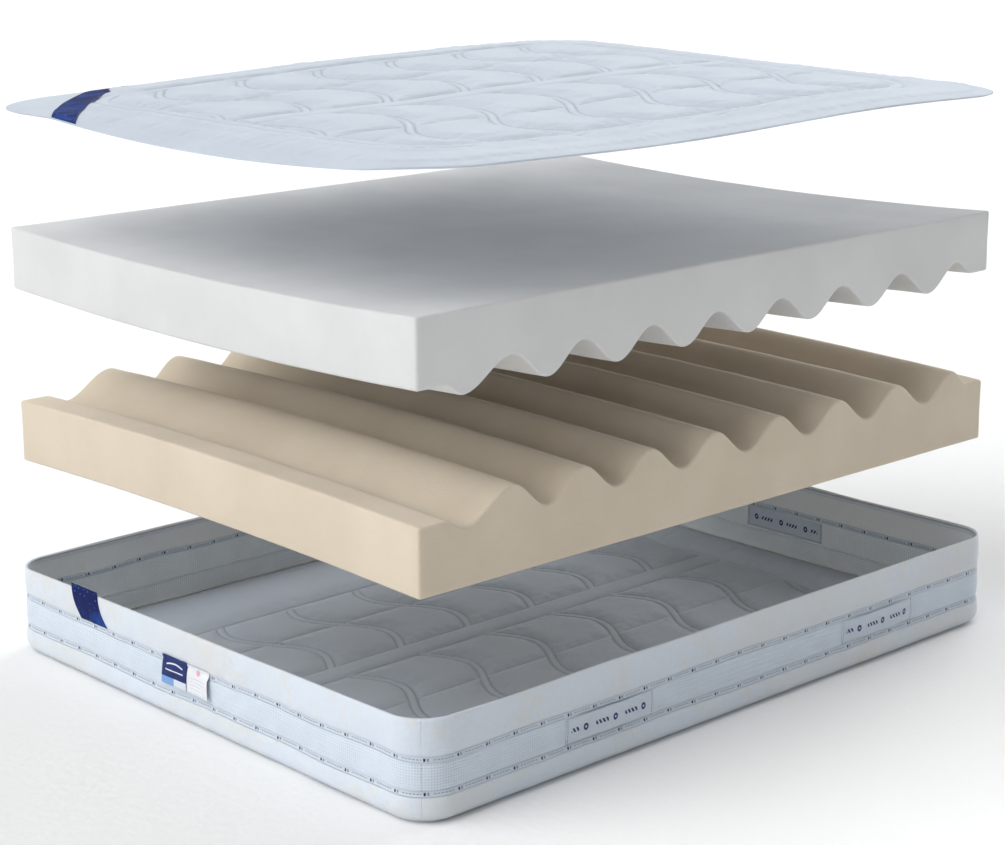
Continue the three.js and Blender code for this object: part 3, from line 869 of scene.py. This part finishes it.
class Outline:
    """A rectangle with round corners, by distance along it: anticlockwise, from the foot and right corner."""

    def __init__(self, half_x, half_y, radius):
        a, b = half_x - radius, half_y - radius
        eighth = math.pi * radius / 4
        runs = [eighth, 2 * a, 2 * eighth, 2 * b, 2 * eighth, 2 * a, 2 * eighth, 2 * b, eighth]
        self.knots = np.concatenate([[0], np.cumsum(runs)])
        self.radius = radius
        self.length = float(self.knots[-1])
        self.facing = np.radians([-135, -90, -90, 0, 0, 90, 90, 180, 180, 225])
        self.centre_x = [-a, -a, a, a, a, a, -a, -a, -a, -a]
        self.centre_y = [-b, -b, -b, -b, b, b, b, b, -b, -b]
        self.ends = [0.0] + [float(self.knots[k] + self.knots[k + 1]) / 2 for k in (2, 4, 6)] + [self.length]
        self.middles = {side: (start + end) / 2 for side, start, end in zip(SIDES, self.ends, self.ends[1:])}

    def at(self, s):
        """Place and outward direction at distance s."""
        s = s % self.length
        facing = np.interp(s, self.knots, self.facing)
        out_x, out_y = np.cos(facing), np.sin(facing)
        x = np.interp(s, self.knots, self.centre_x) + self.radius * out_x
        y = np.interp(s, self.knots, self.centre_y) + self.radius * out_y
        return x, y, out_x, out_y


COVER = Outline(COVER_X, COVER_Y, CORNER)


def wander(s, seed, shortest, longest):
    """Smooth random value from about -1 to 1 along the cover's outline, which joins up where it closes."""
    rng = np.random.default_rng(seed)
    counts = np.arange(max(1, int(COVER.length / longest)), int(COVER.length / shortest))
    phases = rng.uniform(0, 2 * math.pi, len(counts))
    total = sum(np.sin(2 * math.pi * n * s / COVER.length + phase) for n, phase in zip(counts, phases))
    return total / math.sqrt(len(counts)) * 0.75


def seam_height(s, seam, seed):
    return seam + 2.5 * MM * wander(s, seed, 0.35, 1.6)


def lower_seam(s):
    return seam_height(s, LOWER_SEAM, 31)


def upper_seam(s):
    return seam_height(s, UPPER_SEAM, 32)


def rim_sag(s):
    """The rim hangs lowest at the corner between foot and left."""
    ends = COVER.ends
    return np.interp(s % COVER.length, ends, [0.0, 0.0, 5 * MM, 15 * MM, 0.0])


def rim(s):
    return RIM_Z - rim_sag(s) + 1.5 * MM * (1 + wander(s, 33, 0.40, 2.0))


def wall_out(s, z, fullness=1.0):
    """How far the border's outer face stands out from the cover's outline; inward is negative."""
    hem = np.clip(1 - z / HEM, 0, 1)
    turned = -HEM * (1 - np.sqrt(1 - hem ** 2))
    low, high = lower_seam(s), upper_seam(s)
    shares = [z / low, (z - low) / (high - low)]
    share = np.select([z < low, z < high], shares, (z - high) / (rim(s) - high))
    full = np.where(z < low, 6 * MM, 3 * MM)
    bulge = fullness * full * np.sin(math.pi * np.clip(share, 0, 1)) ** 0.8
    from_seam = np.minimum(np.abs(z - low), np.abs(z - high))
    pinch = -1.5 * MM * np.exp(-(from_seam / (7 * MM)) ** 2)
    free = np.clip((RIM_Z - 8 * MM - z) / (60 * MM), 0, 1) * np.clip(z / (20 * MM), 0, 1)
    slack = 2.6 * MM * wander(s + 0.4 * z, 34, 0.25, 1.4) + 1.2 * MM * wander(s - 0.9 * z, 35, 0.07, 0.3)
    pucker = 0.8 * MM * wander(s, 36, 0.026, 0.06) * np.exp(-from_seam / (14 * MM))
    nearest_end = np.min([np.abs((s - end + COVER.length / 2) % COVER.length - COVER.length / 2)
                          for end in COVER.ends[:4]], axis=0)
    crease = -0.4 * MM * np.exp(-(nearest_end / (3 * MM)) ** 2)
    calm = np.clip(nearest_end / (90 * MM), 0.25, 1)
    return turned + bulge + pinch + (slack + pucker) * free * calm + crease * np.clip(free + 0.3, 0, 1)


def on_wall(s, z, out=0.0):
    """Points at distance s along the outline and height z, out from the border's outer face.

    Points on the inner face are on a flatter wall.
    """
    x, y, out_x, out_y = COVER.at(s)
    away = wall_out(s, z, 0.25 if np.max(out) <= -WALL else 1.0) + out
    return np.stack(np.broadcast_arrays(x + out_x * away, y + out_y * away, z), -1)


def twice(first, second):
    """The "band" layer of a slab or band whose two faces have the same pattern."""
    one = np.stack(np.broadcast_arrays(first, second), -1).reshape(-1, 2)
    return np.concatenate([one, one])


def make_border():
    bands = [("base", lambda s: 2.3 * MM + 0 * s, lower_seam, 14, BORDER, MESH_INSIDE_PAINTED_LIGHT, "quilted_fabric"),
             ("mesh", lower_seam, upper_seam, 12, MESH, MESH_INSIDE_PAINTED_LIGHT, "mesh_fabric"),
             ("top", upper_seam, rim, 12, BORDER, BORDER_INSIDE_PAINTED_LIGHT, "quilted_fabric")]
    for band_name, low, high, rows, look, inner_painted_light_look, slot in bands:
        for side, start, end in zip(SIDES, COVER.ends, COVER.ends[1:]):
            s = np.linspace(start + 1.2 * MM, end - 1.2 * MM, int((end - start) / (9 * MM)))
            s = np.concatenate([[start + 0.1 * MM], s, [end - 0.1 * MM]])
            share = np.linspace(0, 1, rows)[:, None]
            bottom, top = low(s) + 0.2 * MM, high(s) - 0.2 * MM
            z = bottom + share * (top - bottom)
            s = np.broadcast_to(s, z.shape)
            verts, faces = slab(on_wall(s, z), on_wall(s, z, -WALL))
            strip = piece(f"{band_name}_band_{side}", verts, faces, "cover", [f"border_{band_name}_{side}"],
                          look, twice(s, z))
            # The inner faces take the lighter inside copy of the fabric: painted light.
            strip.data.materials.append(inner_painted_light_look)
            outer = (rows - 1) * (z.shape[1] - 1)
            inner = np.zeros(len(strip.data.polygons), int)
            inner[outer:2 * outer] = 1
            strip.data.polygons.foreach_set("material_index", inner)


def make_tapes():
    s = np.linspace(0, COVER.length, 900, endpoint=False)[None]
    across = np.linspace(0, 15 * MM, 5)[:, None]
    outside, inside = (0.9 * MM, 0.2 * MM), (-WALL - 0.2 * MM, -WALL - 0.9 * MM)
    for name, seam, (near, far) in (("lower_tape_outer", lower_seam, outside),
                                    ("upper_tape_outer", upper_seam, outside),
                                    ("upper_tape_inner", upper_seam, inside)):
        z = seam(s) - 7.5 * MM + across
        run = s + 0 * z
        verts, faces = band(on_wall(run, z, near), on_wall(run, z, far))
        tape = piece(f"woven_{name}", verts, faces, "cover", [name], TAPE,
                     twice(run, across), COVER.length)


def make_base():
    inset = 14 * MM
    x, y = rounded_grid(COVER_X - inset, COVER_Y - inset, CORNER - inset, 12 * MM)
    _, off, along = FLOOR_QUILT.puff(x, y, 1.0)
    groove = 1.0 * MM * np.exp(-np.maximum(off, 0) / (6 * MM))
    top, bottom = np.stack([x, y, 2.2 * MM + 0 * x], -1), np.stack([x, y, 0.2 * MM + groove], -1)
    make_quilt("cover_base", ["base_ticking"], "cover",
               BASE_TICKING, top, bottom, off, along)


def make_floor():
    """The tray's floor: wadding and lining quilted together."""
    inset = WALL + 2 * MM
    half_x, half_y, corner = COVER_X - inset, COVER_Y - inset, CORNER - inset
    x, y = rounded_grid(half_x, half_y, corner, 7 * MM)
    puff, off, along = FLOOR_QUILT.puff(x, y, 9.5 * MM)
    edge = inside_by(x, y, half_x, half_y, corner)
    rise = np.clip(edge / (30 * MM), 0, 1)
    top = 8 * MM + 5 * MM * (1 - rise) + puff * rise + 0.5 * MM * ripple(x, y, 0.2, 5)
    sewn = (off < 5 * MM) | (edge < 45 * MM)
    top = top + swell(x, y, top, sewn, 3 * MM) * np.clip(off / (12 * MM), 0, 1)
    shrink = 1 - 16 * MM / half_y
    bottom = np.stack([x * (1 - 16 * MM / half_x), y * shrink, 2.6 * MM + 0 * x], -1)
    make_quilt("tray_floor_quilt", ["base_wadding", "base_lining"], "cover", LINING,
               np.stack([x, y, top], -1), bottom, off, along)
    s = np.linspace(0, COVER.length, 700, endpoint=False)
    path = on_wall(s, 17.9 * MM + 0 * s, -WALL - 2.0 * MM)
    verts, faces = tube(path, 1.5 * MM)
    piece("floor_piping", verts, faces, "cover", ["floor_seam_bead"], PIPING)


# ---------------------------------------------------------------- handles, labels, ribbon

HANDLES = {"right_foot": ("right", -450 * MM), "right_head": ("right", 530 * MM),
           "head_end": ("head", -95 * MM), "left_side": ("left", -10 * MM)}


def wall_patch(name, side, middle, half_long, low, high, out, thick, node, slot, look, held="laid",
               stand=None, sweep=0.0, columns=40, rows=10, body="cover", under="mesh_band"):
    """A flat piece on the border, out from its face.

    stand(along, up) lifts it off further, and it curves aside by sweep from its top to its bottom.
    """
    across = np.linspace(-1, 1, columns)[None]
    share = np.linspace(0, 1, rows)[:, None]
    z = low + share * (high - low)
    up = z - (low + high) / 2
    along = half_long * across + 0 * z
    s = COVER.middles[side] + middle + along + sweep * (1 - share) ** 1.7
    z = z + 0 * s
    lifted = out + (stand(along, up) if stand else 0)
    verts, faces = slab(on_wall(s, z, lifted), on_wall(s, z, lifted - thick))
    obj = piece(name, verts, faces, body, [node], look, twice(along, up + 0 * s))


def make_handles():
    middle = (LOWER_SEAM + UPPER_SEAM) / 2
    half, tall = 142 * MM, 30 * MM

    def stand(along, up):
        """Flat where it is sewn at each end, and slack between."""
        free = np.clip((half - 22 * MM - np.abs(along)) / (60 * MM), 0, 1)
        return (2.4 * MM + 0.8 * MM * (up / tall)) * free ** 2 * (3 - 2 * free)

    for name, (side, along) in HANDLES.items():
        place = (side, along, half, middle - tall, middle + tall)
        wall_patch(f"handle_strap_{name}", *place, 1.9 * MM, 1.6 * MM,
                   f"handle_{name}", "woven_label", STRAP, stand=stand, columns=48)
        wall_patch(f"handle_backing_{name}", *place, -WALL - 0.3 * MM, 0.8 * MM,
                   f"handle_patch_{name}", "woven_label", STRAP, columns=48)


def make_foot_trim():
    low, top = heights("woven_label")

    def drop(along, up):
        """The sewn top edge lies on the tape; the free bottom edge stands off a little."""
        return 2.5 * MM * np.clip((20 * MM - up) / (56 * MM), 0, 1) ** 1.5

    def loop(along, up):
        """The care label's outer edge stands off like a folded loop, except at its sewn top."""
        free = np.clip((31 * MM - up) / (16 * MM), 0, 1)
        return drop(along, up) + 6 * MM * free * np.clip(along / (44 * MM), 0, 1) ** 2

    wall_patch("label_woven", "foot", -80 * MM, 49 * MM, low, top, 3.4 * MM, 0.8 * MM, "woven_label",
               "woven_label", WOVEN_LABEL, held="hung", stand=drop, columns=30, rows=26)
    wall_patch("label_care", "foot", 16 * MM, 44 * MM, low, top - 2.5 * MM, 3.4 * MM, 0.8 * MM, "care_label",
               "care_label", CARE_LABEL, held="hung", body="care_flap", columns=30, rows=26, stand=loop)
    wall_patch("foot_ribbon_satin", "foot", -472 * MM, 59 * MM, UPPER_SEAM + 8.5 * MM, RIM_Z + 1.5 * MM,
               1.2 * MM, 0.6 * MM, "foot_ribbon", "ribbon", RIBBON, under="top_band",
               sweep=44 * MM, columns=26, rows=24)


# ---------------------------------------------------------------- zip


def coil_rise(across):
    """How far the zip's coil stands off its tape."""
    return 0.5 * MM * np.exp(-((across - 10.5 * MM) / (2.5 * MM)) ** 2)


def make_zip():
    low, high = heights("rim_zip_tape")
    s = np.linspace(0, COVER.length, 900, endpoint=False)[None]
    across = np.linspace(0, high - low, 7)[:, None]
    z = low + across - rim_sag(s)
    run = s + 0 * z
    verts, faces = band(on_wall(run, z, -WALL - 0.3 * MM),
                        on_wall(run, z, -WALL - 1.5 * MM - coil_rise(across)))
    tape = piece("rim_zip", verts, faces, "cover", ["rim_zip_tape"], ZIP_TAPE,
                 twice(run, across), COVER.length)
    low, high = heights("panel_zip_tape")
    edge = Outline(PANEL_X, PANEL_Y, PANEL_CORNER)
    s = np.linspace(0, edge.length, 900, endpoint=False)[None]
    x, y, out_x, out_y = edge.at(s)
    across = np.linspace(0, 14 * MM, 7)[:, None]
    away = -26 * MM + across
    px, py = x + out_x * away, y + out_y * away
    z = high + panel_lift(px, py)
    verts, faces = band(np.stack([px, py, z - 1.2 * MM - coil_rise(across)], -1),
                        np.stack([px, py, z + 0.2 * MM], -1))
    tape = piece("panel_zip", verts, faces, "panel", ["panel_zip_tape"], ZIP_TAPE,
                 twice(s + 0 * px, across), edge.length)
    lies_flatter_when_closed(tape)


def block(low, high):
    """Corners and faces of a box."""
    (x0, y0, z0), (x1, y1, z1) = low, high
    verts = [(x, y, z) for z in (z0, z1) for y in (y0, y1) for x in (x0, x1)]
    faces = [(0, 2, 3, 1), (4, 5, 7, 6), (0, 1, 5, 4), (2, 6, 7, 3), (0, 4, 6, 2), (1, 3, 7, 5)]
    return verts, faces


def make_slider():
    """The slider: two waisted plates joined by a post, with a bridge that the pull hangs from."""
    low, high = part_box("zip_slider")
    middle = (low + high) / 2
    half_x, half_z = (high.x - low.x) / 2, (high.z - low.z) / 2
    waist = [(-1, 0.55), (-0.8, 0.8), (-0.2, 0.95), (0.3, 1.0), (0.75, 0.85), (1, 0.6)]
    waist += [(along, -up) for along, up in waist[::-1]]
    outline = [(along * half_x, up * half_z) for along, up in waist]
    verts, faces = [], []
    for near, far in ((low.y, low.y + 1.8 * MM), (high.y - 3.6 * MM, high.y - 1.8 * MM)):
        first, count = len(verts), len(outline)
        for y in (near, far):
            verts += [(middle.x + x, y, middle.z + z) for x, z in outline]
        faces.append(tuple(range(first + count - 1, first - 1, -1)))
        faces.append(tuple(range(first + count, first + 2 * count)))
        faces += [(first + k, first + (k + 1) % count, first + count + (k + 1) % count, first + count + k)
                  for k in range(count)]
    bars = [((-2, low.y + 1.8 * MM, -1.6), (4, high.y - 3.6 * MM, 1.6)),
            ((-4, high.y - 1.8 * MM, -1.2), (-2.4, high.y, 1.2)),
            ((3.4, high.y - 1.8 * MM, -1.2), (5, high.y, 1.2)),
            ((-4, high.y - 0.8 * MM, -1.2), (5, high.y, 1.2))]
    for (x0, y0, z0), (x1, y1, z1) in bars:
        corner = (middle.x + x0 * MM, y0, middle.z + z0 * MM)
        box_verts, box_faces = block(corner, (middle.x + x1 * MM, y1, middle.z + z1 * MM))
        faces += [tuple(len(verts) + k for k in face) for face in box_faces]
        verts += box_verts
    slider = piece("slider_body", verts, faces, "slider", ["zip_slider"], NICKEL)
    round_edges(slider, 0.4 * MM)


def make_pull():
    """The pull tab: a flat tongue with round ends, a little narrower at one, and a long hole through it."""
    low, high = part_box("zip_pull")
    middle_x, middle_z = (low.x + high.x) / 2, (low.z + high.z) / 2
    half_x, half_z = (high.x - low.x) / 2, (high.z - low.z) / 2
    count = 48
    turn = np.linspace(0, 2 * math.pi, count, endpoint=False)
    straight = (half_x - half_z) * np.sign(np.cos(turn)) * np.minimum(1, 1.6 * np.abs(np.cos(turn)))
    taper = (1 - 0.18 * np.cos(turn)) / 1.18
    out_x = straight + half_z * np.cos(turn)
    out_z = half_z * np.clip(1.25 * np.sin(turn), -1, 1) * taper
    edges = [(1, 1, low.y), (1, 1, high.y), (0.78, 0.42, high.y), (0.78, 0.42, low.y)]
    verts = [(middle_x + wide * x, y, middle_z + tall * z)
             for wide, tall, y in edges for x, z in zip(out_x, out_z)]
    faces = []
    for edge in range(len(edges)):
        a, b = edge * count, (edge + 1) % len(edges) * count
        faces += [(a + k, b + k, b + (k + 1) % count, a + (k + 1) % count) for k in range(count)]
    pull = piece("pull_tab", verts, faces, "pull", ["zip_pull"], NICKEL)
    round_edges(pull, 0.3 * MM)


# ---------------------------------------------------------------- stage, lights, camera


def add_camera():
    """At the photograph's angle: from the foot end, on the right-hand side."""
    azimuth, elevation = math.radians(-42.8), math.radians(14.26)
    aim = Vector((-0.012, 0.0, 0.581))
    back = Vector((math.sin(azimuth) * math.cos(elevation), -math.cos(azimuth) * math.cos(elevation),
                   math.sin(elevation)))
    data = bpy.data.cameras.new("camera")
    data.lens = 83.2
    camera = bpy.data.objects.new("camera", data)
    bpy.context.scene.collection.objects.link(camera)
    camera.location = aim + 6.1 * back
    camera.rotation_euler = (math.pi / 2 - elevation, math.radians(0.25), azimuth)
    bpy.context.scene.camera = camera


def add_sun(name, towards, strength, spread, colour):
    """A very soft sun that shines from the direction towards."""
    data = bpy.data.lights.new(name, "SUN")
    data.energy = strength
    data.angle = math.radians(spread)
    data.color = colour
    light = bpy.data.objects.new(name, data)
    bpy.context.scene.collection.objects.link(light)
    light.rotation_euler = Vector(towards).to_track_quat("Z", "Y").to_euler()


def add_stage():
    floor = bpy.data.meshes.new("floor")
    half = 300
    corners = [(-half, -half, 0), (half, -half, 0), (half, half, 0), (-half, half, 0)]
    floor.from_pydata(corners, [], [(0, 1, 2, 3)])
    floor.materials.append(plain_cloth("pale_floor", (0.95, 0.95, 0.95), (0.94, 0.94, 0.94)))
    obj = bpy.data.objects.new("floor", floor)
    bpy.context.scene.collection.objects.link(obj)
    obj.location.z = -1 * MM
    world = bpy.data.worlds.new("world")
    bpy.context.scene.world = world
    world.use_nodes = True
    background = world.node_tree.nodes["Background"]
    background.inputs["Color"].default_value = (0.96, 0.98, 1.0, 1)
    background.inputs["Strength"].default_value = 0.36
    bpy.context.scene.view_settings.view_transform = "Standard"


make_foams()
make_panel()
make_corner_ribbon()
make_base()
make_floor()
make_border()
make_tapes()
make_handles()
make_foot_trim()
make_zip()
make_slider()
make_pull()
add_camera()
add_stage()
add_sun("soft_key", (-0.85, 0.32, 0.87), 2.35, 60, (1.0, 1.0, 1.0))
add_sun("head_end_light", (1.0, 0.2, 0.32), 2.6, 50, (1.0, 1.0, 1.0))
add_sun("foot_end_fill", (-1.0, -0.12, 0.1), 0.45, 30, (0.94, 0.97, 1.0))
add_sun("overhead", (0.2, 0.2, 1.0), 0.4, 50, (1.0, 1.0, 1.0))
